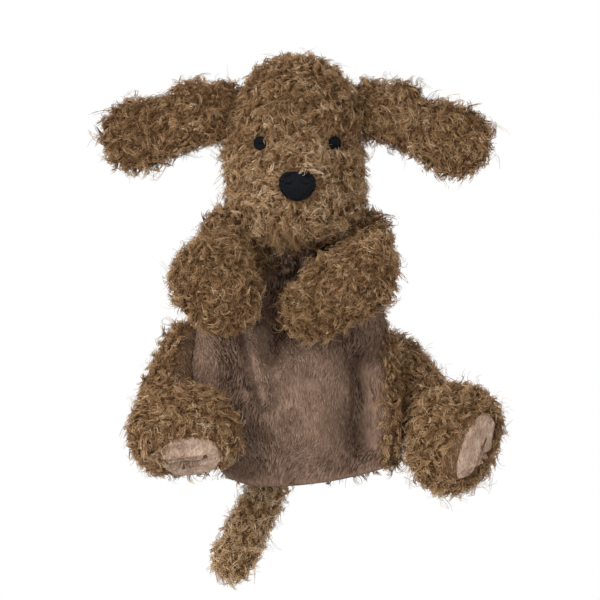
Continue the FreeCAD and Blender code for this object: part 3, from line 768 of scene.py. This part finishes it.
def in_fur(part, places, facing):
    """Where a stuffed part is furry: over its plush nodes, but not where it is velour."""
    furry, hidden = part_nodes(part)
    nodes = furry + hidden
    nearest = nearest_node(places, nodes)
    palm = np.array(["palm" in node for node in nodes])[nearest]
    bare = (palm & (under(places, facing) > 0)) | in_velour(part, places, facing)
    covered = (nearest < len(furry)) | (part == "head")
    return covered & ~bare


for seed, (part, skin) in enumerate(skins.items(), start=1):
    furry, hidden = part_nodes(part)
    dress(skin, curly_backing, part, "curly_plush", *furry, *hidden)
    cover_in_pile(part, skin.data, part, partial(in_fur, part), seed,
                  face_spots if part == "head" else (), glow=PILE_GLOW.get(part, 0.0))

chin_z = neck.z + 14 * MM


def at_chin(places, facing):
    near_middle = np.abs(places[:, 0] - neck.x) < 26 * MM
    return near_middle & (places[:, 2] < chin_z) & (facing[:, 1] < 0.1) & (facing[:, 2] < 0)


BEARD = Pile(height=9.5, spacing=3.0, hairs=7, steps=6, droop=1.7, curl=0.85, thick=0.33,
             light=0.10)
grow_pile("beard", skins["head"].data, "head", at_chin, 41, BEARD)


def at_throat(places, facing):
    """A patch under the chin whose hair hangs down before the chest."""
    beside = np.abs(places[:, 0] - neck.x + 7 * MM) < 9 * MM
    return beside & at_chin(places, facing) & (facing[:, 1] < -0.2)


THROAT_HAIR = Pile(height=14.0, spacing=3.2, hairs=8, steps=6, droop=2.8, curl=0.45, thick=0.30,
                   light=0.03)
grow_pile("throat_hair", skins["head"].data, "head", at_throat, 42, THROAT_HAIR)

# -------- velour pads


def velour_pad(name, node, body, shape):
    """A velour patch that takes a CAD patch's place, its surface moved by a shape."""
    pad = closed_skin(name, [node], 0.9 * MM, 4)
    mesh = pad.data
    spots, normals = points_of(mesh), normals_of(mesh)
    spots = spots + normals * shape(spots, normals)[:, None] * MM
    move_points(mesh, spots)
    mesh.shade_smooth()
    dress(pad, sole_velour, body, "sole_velour", node)
    return pad


def palm_shape(spots, facing):
    """Proud of the arm where it is velour, sunk under the pile elsewhere."""
    return np.clip(under(spots, facing) * 12, -3, 1.4)


def on_palm(places, facing):
    return under(places, facing) > 0.05


def bells(distance, width):
    """Bell curves over an array of distances from their middle."""
    return np.exp(-(distance / width) ** 2)


def sole_shape(side, across, up, crease, pleats):
    """A rule for how far a sole stands out: gathered into a crease, with pleats that run from it.

    The crease is (start, end, height) in millimetres along the sole's own two directions."""
    middle = np.array(middle_of(f"sole_{side}"))

    def shape(spots):
        u = (spots - middle) @ unit(np.array(across)) / MM
        v = (spots - middle) @ unit(np.array(up)) / MM
        past = np.maximum(0, np.maximum(crease[0] - u, u - crease[1]))
        drop = v - crease[2] - 0.12 * u
        from_middle = u - (crease[0] + crease[1]) / 2
        angle = np.arctan2(drop, from_middle)
        far = np.hypot(drop, from_middle)
        gather = -6.0 * bells(drop, 2.8) * bells(past, 2.5)
        lips = 3.4 * bells(drop - 6.0, 3.6) * bells(past, 6) + 1.5 * bells(drop + 5.0, 2.8)
        folds = 2.3 * np.sin(pleats * angle + 0.8) * bells(far - 8.5, 6.0) * bells(drop + 6, 5.5)
        outside = np.clip(6 * (oval_reach(spots, *SOLE_OVALS[f"leg_{side}"]) - 1), 0, 1)
        return (0.4 + gather + lips + folds) * (1 - outside) - 4 * outside

    return shape


SOLE_SHAPES = {
    "left": sole_shape("left", (1, 0, 0), (0, -0.82, 0.57), (-10, 9, 2.5), 13),
    "right": sole_shape("right", (0.36, 0, 0.93), (-0.6, -0.75, 0.2), (-9, -2, 1), 9),
}
SOLE_PAINTED_SHADE = 1.9  # how strongly a sole's creases take painted shade and its lips painted light, against those of the belly
for number, side in enumerate(SIDES):
    palm = velour_pad(f"palm_{side}_velour", f"arm_{side}_palm", f"arm_{side}", palm_shape)
    comb_nap(f"palm_{side}_nap", palm.data, sole_nap, f"arm_{side}", "sole_velour", on_palm,
             61 + number, length=2.4)
    leg = f"leg_{side}"
    sole = velour_pad(f"sole_{side}_velour", f"sole_{side}", leg,
                      lambda spots, facing: SOLE_SHAPES[side](spots))
    # the nap on a sole carries painted shade in its creases and painted light on its lips
    for skin, name in ((sole, f"sole_{side}_nap"), (skins[leg], f"{leg}_nap")):
        comb_nap(name, skin.data, sole_nap, leg, "sole_velour", partial(in_sole, leg),
                 71 + number, spacing=1.15, length=1.7, thick=0.40,
                 rise=lambda places: SOLE_PAINTED_SHADE * SOLE_SHAPES[side](places))
# the velour strip beside the left leg takes the painted shade copy of the nap
comb_nap("leg_left_strip", skins["leg_left"].data, painted_shade_nap, "leg_left", "belly_velour",
         partial(in_strip, "leg_left"), 75)

# -------- glove

belly_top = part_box("belly_panel")[1]
seam_y, collar_z = belly_top.y, belly_top.z
axis_x = -2 * MM
FAR = 150 * MM  # clear of the glove on every side
GLOVE_HALVES = (53, 27)  # half the glove's width and depth, in millimetres
HEM_LOWEST = -24  # where the hem hangs lowest, in millimetres


def hem_lift(x):
    """How far the hem hangs above its lowest point, left and right of it."""
    apart = x / MM - HEM_LOWEST
    return min(14, apart ** 2 * (0.0021 if apart > 0 else 0.012)) * MM


def cloth_grid(node, span, columns, rows, height, from_inside=False):
    """Rays towards the glove's axis (or out from it) that find a CAD cloth's surface."""
    tree = tree_of(node)
    grid = []
    for row in range(rows + 1):
        z = height[0] + (height[1] - height[0]) * row / rows
        line = []
        for column in range(columns + 1):
            angle = span[0] + (span[1] - span[0]) * column / columns
            outward = Vector((GLOVE_HALVES[0] * cos(angle), GLOVE_HALVES[1] * sin(angle), 0))
            outward.normalize()
            middle = Vector((axis_x, seam_y, z))
            if from_inside:
                hit = tree.ray_cast(middle, outward, FAR)[0]
            else:
                hit = tree.ray_cast(middle + outward * FAR, -outward, FAR)[0]
            line.append(hit)
        grid.append(line)
    return grid


def close_front(grid, half_width):
    """Carry the cloth across the finger holes where they reach the collar's front."""
    for line in grid:
        found = [number for number, spot in enumerate(line) if spot]
        for before, after in zip(found, found[1:]):
            for number in range(before + 1, after):
                share = (number - before) / (after - before)
                spot = line[before].lerp(line[after], share)
                if abs(spot.x - neck.x) < half_width:
                    line[number] = spot
    return grid


def cloth_sheet(name, grid, thickness, shape, outward=False):
    """A sheet of cloth of even thickness over a grid of points; missing points leave holes."""
    form = bmesh.new()
    corners = [[form.verts.new(spot) if spot else None for spot in line] for line in grid]
    for near, above in zip(corners, corners[1:]):
        for first, second, third, fourth in zip(near, near[1:], above[1:], above):
            if first and second and third and fourth:
                form.faces.new((first, second, third, fourth))
    loose = [corner for corner in form.verts if not corner.link_faces]
    bmesh.ops.delete(form, geom=loose, context="VERTS")
    mesh = bpy.data.meshes.new(name)
    form.to_mesh(mesh)
    form.free()
    piece = link(name, mesh)
    spots, normals = points_of(mesh), normals_of(mesh)
    for index, (spot, normal) in enumerate(zip(spots, normals)):
        fade = max(0.0, 1 - spot[2] / (45 * MM)) ** 2
        spots[index] = spot + normal * shape(spot / MM) * MM
        spots[index][2] += hem_lift(spot[0]) * fade
    move_points(mesh, spots)
    solid = piece.modifiers.new("thick", "SOLIDIFY")
    solid.thickness = thickness * MM
    solid.offset = 1 if outward else -1
    settle(piece).shade_smooth()
    return piece


def bell(value, middle, width):
    """A bell curve over one value."""
    return exp(-((value - middle) / width) ** 2)


def fold(x, z, foot, top, width):
    """How much a fold that runs from foot to top, both (x, z), lifts the cloth at a place."""
    run = (top[0] - foot[0], top[1] - foot[1])
    length = run[0] ** 2 + run[1] ** 2
    along = ((x - foot[0]) * run[0] + (z - foot[1]) * run[1]) / length
    nearest = min(1.0, max(0.0, along))
    across = ((x - foot[0] - nearest * run[0]) ** 2
              + (z - foot[1] - nearest * run[1]) ** 2) ** 0.5
    return exp(-(across / width) ** 2)


FOLDS = (  # (x, z) of the foot and the top in millimetres, width, height
    ((-42, 58), (-47, 100), 7.5, -9.0),
    ((-57, 60), (-59, 100), 4.5, 5.0),
    ((-22, 52), (-32, 93), 5.0, 8.5),
    ((-20, 80), (-20, 112), 5.6, -6.5),
    ((-26, 22), (-36, 52), 9.5, -5.0),
    ((39, 24), (32, 76), 6.2, -9.0),
    ((32, 76), (24, 92), 5.6, -4.5),
    ((49, 20), (42, 72), 4.8, 5.5),
    ((31, 14), (31, 40), 9.0, -5.0),
    ((17, 98), (28, 98), 8.0, -4.0),
    ((4, 32), (10, 66), 17.0, 6.0),
    ((-12, 20), (6, 12), 11.0, -1.6),
    ((-13, 104), (-10, 130), 12.5, -9.0),
)


def side_swell(x, z):
    """The glove's sides bulge beside the thighs, where the hand spreads the cloth."""
    left = 7.0 * bell(z, 66, 16) * min(1.0, max(0.0, (-x - 36) / 18))
    right = 3.5 * bell(z, 46, 26) * min(1.0, max(0.0, (x - 36) / 14))
    return left + right


def creases(x, z):
    return sum(height * fold(x, z, foot, top, width) for foot, top, width, height in FOLDS)


def nap(x, y, z):
    """Locks of the brushed pile, which lie down the cloth and swirl a little."""
    sway = 6 * noise.noise(Vector((x / 26, y / 26, z / 22)))
    spot = Vector(((x + sway) / 1.5, y / 1.5, z / 4.6 + 0.4 * sway))
    return 0.26 * noise.noise(spot) + 0.10 * noise.noise(spot * 2.1)


def belly_shape(spot):
    x, y, z = spot
    hem_roll = -2.2 * max(0.0, 1 - z / 3.2) ** 2
    return creases(x, z) + side_swell(x, z) + nap(x, y, z) + hem_roll


def behind_belly(spot):
    """The lining in front follows the folds of the belly's cloth."""
    x, _, z = spot
    return creases(x, z) + side_swell(x, z)


def calm(spot):
    """The faint waves of a cloth that nothing pulls."""
    x, y, z = spot
    return side_swell(x, z) + 0.5 * noise.noise(Vector((x / 16, y / 16, z / 30)))


EDGE = 0.002  # how far a cloth stops short of the side seam, in radians
RIM = 0.3 * MM  # how far it stops short of its CAD cloth's upper and lower rims
FRONT = (pi + EDGE, tau - EDGE)
BACK = (EDGE, pi - EDGE)
GLOVE_HEIGHT = (0.4 * MM, collar_z - RIM)  # from just above the hem to the collar
OUTER_THICK = 2.2  # of the cloths with their backing, in millimetres
LINING_THICK = 0.9
front_grid = cloth_grid("belly_panel", FRONT, 225, 170, GLOVE_HEIGHT)
belly = cloth_sheet("belly_cloth", close_front(front_grid, 22 * MM), OUTER_THICK, belly_shape)
dress(belly, belly_velour, "glove", "belly_velour", "belly_panel")


def outside_glove(places, facing):
    """The side of the glove's cloth that faces away from the hand."""
    outward = (places[:, 0] - axis_x) * facing[:, 0] + (places[:, 1] - seam_y) * facing[:, 1]
    return outward > 0


def at_shoulder(places):
    """The two corners of the belly's cloth beside the collar, which are furry."""
    return (places[:, 2] > 126 * MM) & (np.abs(places[:, 0] + 4 * MM) > 13 * MM)


# the height of the belly's folds at each place, used to paint shade into the nap in the folds and
# light on the ridges
def painted_shade_by_crease(places):
    return np.array([creases(place[0] / MM, place[2] / MM) for place in places])


def on_belly(places, facing):
    """The velour, but for the rolled edge at the hem."""
    hem = np.array([hem_lift(place[0]) for place in places])
    return outside_glove(places, facing) & ~at_shoulder(places) & (places[:, 2] - hem > 4.4 * MM)


def on_furry_edge(places, facing):
    """The shoulders, and the strip along the belly's right seam above the hem."""
    seam = (places[:, 0] > 47 * MM) & (places[:, 2] > 6 * MM) & (places[:, 2] < 92 * MM)
    return outside_glove(places, facing) & (seam | at_shoulder(places))


# the belly's nap carries painted shade in its folds and painted light on its ridges
comb_nap("belly_nap", belly.data, belly_nap, "glove", "belly_velour", on_belly, 51,
         spacing=1.7, length=3.1, rise=painted_shade_by_crease)
cover_in_pile("belly_edge", belly.data, "glove", on_furry_edge, 35, height=7.5)
back_grid = cloth_grid("back_panel", BACK, 80, 80, GLOVE_HEIGHT)
back = cloth_sheet("back_cloth", back_grid, OUTER_THICK, calm)
dress(back, curly_backing, "glove", "curly_plush", "back_panel")


def on_back(places, facing):
    above_hem = places[:, 2] > 2.5 * MM
    return outside_glove(places, facing) & (facing[:, 1] > -0.15) & above_hem


cover_in_pile("glove_back", back.data, "glove", on_back, 31, height=6.0)


def between_rims(node):
    low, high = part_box(node)
    return low.z + RIM, high.z - RIM


lining_height = between_rims("lining_front")
for node, span, shape, behind in (("lining_front", FRONT, behind_belly, belly),
                                  ("lining_back", BACK, calm, back)):
    lining_grid = cloth_grid(node, span, 90, 90, lining_height, from_inside=True)
    lining = cloth_sheet(f"{node}_cloth", lining_grid, LINING_THICK, shape, outward=True)
    dress(lining, lining_weave, "glove", "lining_cloth", node)
hem_grid = cloth_grid("hem_facing", (0, tau), 180, 8, between_rims("hem_facing"), from_inside=True)
hem = cloth_sheet("hem_facing_cloth", hem_grid, LINING_THICK, calm, outward=True)
dress(hem, lining_weave, "glove", "lining_cloth", "hem_facing")

stall = closed_skin("finger_stall_cloth", ["finger_stall"], 0.8 * MM, 3)
stall.data.shade_smooth()
dress(stall, lining_weave, "head", "lining_cloth", "finger_stall")

# -------- face

EGG_LEVEL = 0.25  # where an egg shape is widest, from 0 in its middle to 1 at its top
STITCH_STEPS = 12  # places along a stitch
STITCH_SIDES = 6  # and round it


def beyond_egg(u, v):
    """Whether a place in a patch, both ways from -1 to 1, lies outside its egg shape."""
    raised = v - EGG_LEVEL
    share = abs(raised) / (1 - EGG_LEVEL if raised > 0 else 1 + EGG_LEVEL)
    return abs(u) ** 2.2 + share ** 2 > 1


def stitch_run(trees, x, low, high, rounded):
    """The places that one stitch follows down the front of a patch, or of the head's skin."""
    run = []
    for z in np.linspace(low.z, high.z, 60):
        start = Vector((x, low.y - 20 * MM, z))
        hits = [tree.ray_cast(start, Vector((0, 1, 0)), 60 * MM)[0] for tree in trees]
        u = 2 * (x - low.x) / (high.x - low.x) - 1
        v = 2 * (z - low.z) / (high.z - low.z) - 1
        if rounded and beyond_egg(u, v):
            continue
        if hits[0] or rounded:
            proud = hits[0].y if hits[0] else hits[1].y - 1.2 * MM
            run.append((x, min(proud, hits[1].y - 0.4 * MM), z))
    return np.array(run)


def satin(name, node, spacing, thickness, finish, slot, rounded=False):
    """Side-by-side stitches over a patch, which takes their finish; each follows its front.

    Where it is rounded the stitches fill an egg shape, point down, as wide as the patch."""
    low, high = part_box(node)
    skin = BVHTree.FromObject(skins["head"], bpy.context.evaluated_depsgraph_get())
    trees = (tree_of(node), skin)
    lines = []
    count = int((high.x - low.x) / (spacing * MM))
    for number in range(count):
        x = low.x + (number + 0.5) * (high.x - low.x) / count
        run = stitch_run(trees, x, low, high, rounded)
        if len(run) <= 4:  # too short for a stitch
            continue
        if rounded:
            level = (run[:, 2] - low.z) / MM
            run[:, 1] = np.polyval(np.polyfit(level, run[:, 1], 3), level)
        share = np.linspace(0, len(run) - 1, STITCH_STEPS)
        lines.append(np.stack([np.interp(share, np.arange(len(run)), run[:, axis])
                               for axis in range(3)], axis=1))
    lines = np.array(lines)
    t = np.linspace(-1, 1, STITCH_STEPS)[None]
    radii = np.broadcast_to(thickness / 2 * MM * (1 - 0.6 * t ** 8), lines.shape[:2])
    add_fibres(name, lines, radii, np.ones(lines.shape[:2]), finish, "head", slot, STITCH_SIDES)
    frame["nodes"][node].data.materials.clear()
    frame["nodes"][node].data.materials.append(finish)


satin("nose_satin", "nose", 0.75, 1.1, dark_thread, "nose_satin", rounded=True)
tuft_root = middle_of("nose") + Vector((5.5, 0, 10.6)) * MM


def at_tuft(places, facing):
    apart = places - np.array(tuft_root)
    return (np.hypot(apart[:, 0], apart[:, 2]) < 2.4 * MM) & (facing[:, 1] < 0)


TUFT = Pile(height=8.0, spacing=1.6, hairs=7, steps=6, droop=1.6, curl=0.4, thick=0.28, light=0.35)
grow_pile("nose_tuft", skins["head"].data, "head", at_tuft, 43, TUFT)
for side in SIDES:
    satin(f"eye_{side}_satin", f"eye_{side}", 0.6, 0.9, dark_thread, "eye_thread")
satin("mouth_stitches", "mouth_stitch", 0.5, 0.6, mouth_thread, "mouth_thread")

# -------- room

ROOM = 2.0  # from the middle of the floor to its edge, in metres
FLOOR_DROP = 0.4  # from the lowest piece down to the floor, in metres
FLOOR_GLOW = 0.72  # how much of the floor's look is plain white
floor_level = cad_box[0][2] - FLOOR_DROP
floor_corners = [(x * ROOM, y * ROOM, floor_level) for x, y in ((-1, -1), (1, -1), (1, 1), (-1, 1))]
floor_mesh = bpy.data.meshes.new("floor")
floor_mesh.from_pydata(floor_corners, [], [(0, 1, 2, 3)])
floor = link("floor", floor_mesh)


def seen_plainly(finish):
    """1 where the eye meets a surface straight, in a mirror or through glass; else 0."""
    path = "ShaderNodeLightPath"
    seen = finish.add(path, output="Is Camera Ray")
    for kind in ("Is Glossy Ray", "Is Transmission Ray"):
        seen = seen.math("MAXIMUM", seen, finish.add(path, output=kind))
    return seen


def floor_finish():
    """A pale floor that reads as white where no shadow falls on it."""
    finish = new_finish("pale_floor")
    pale = finish.add("ShaderNodeBsdfDiffuse", {}, {"Color": (0.8, 0.8, 0.8, 1)})
    glow = finish.add("ShaderNodeEmission", {}, {"Color": (1, 1, 1, 1), "Strength": 1.0})
    share = seen_plainly(finish) * FLOOR_GLOW
    mixed = finish.add("ShaderNodeMixShader", {}, {0: share, 1: pale, 2: glow})
    finish.add("ShaderNodeOutputMaterial", {}, {"Surface": mixed})
    return finish.holder


floor_mesh.materials.append(floor_finish())

world = bpy.data.worlds.new("soft_room")
scene.world = world
room = Finish(world)
ambient = room.add("ShaderNodeBackground", {}, {"Color": (0.98, 0.99, 1.0, 1), "Strength": 0.44})
backdrop = room.add("ShaderNodeBackground", {}, {"Color": (1, 1, 1, 1), "Strength": 1.0})
chosen = room.add("ShaderNodeMixShader", {}, {0: seen_plainly(room), 1: ambient, 2: backdrop})
room.add("ShaderNodeOutputWorld", {}, {"Surface": chosen})


def soft_lamp(name, place, size, power):
    """A square lamp that looks at the puppet's middle."""
    lamp = bpy.data.lights.new(name, "AREA")
    lamp.shape = "SQUARE"
    lamp.size = size
    lamp.energy = power
    holder = link(name, lamp)
    holder.location = place
    holder.rotation_euler = (view_centre - Vector(place)).to_track_quat("-Z", "Y").to_euler()


soft_lamp("key_lamp", (-1.25, -1.3, 0.75), 0.8, 27)
soft_lamp("fill_lamp", (0.9, -1.4, -0.1), 1.0, 9)
soft_lamp("back_lamp", (0.3, 1.3, 1.0), 0.9, 8)

scene.view_settings.view_transform = "Standard"
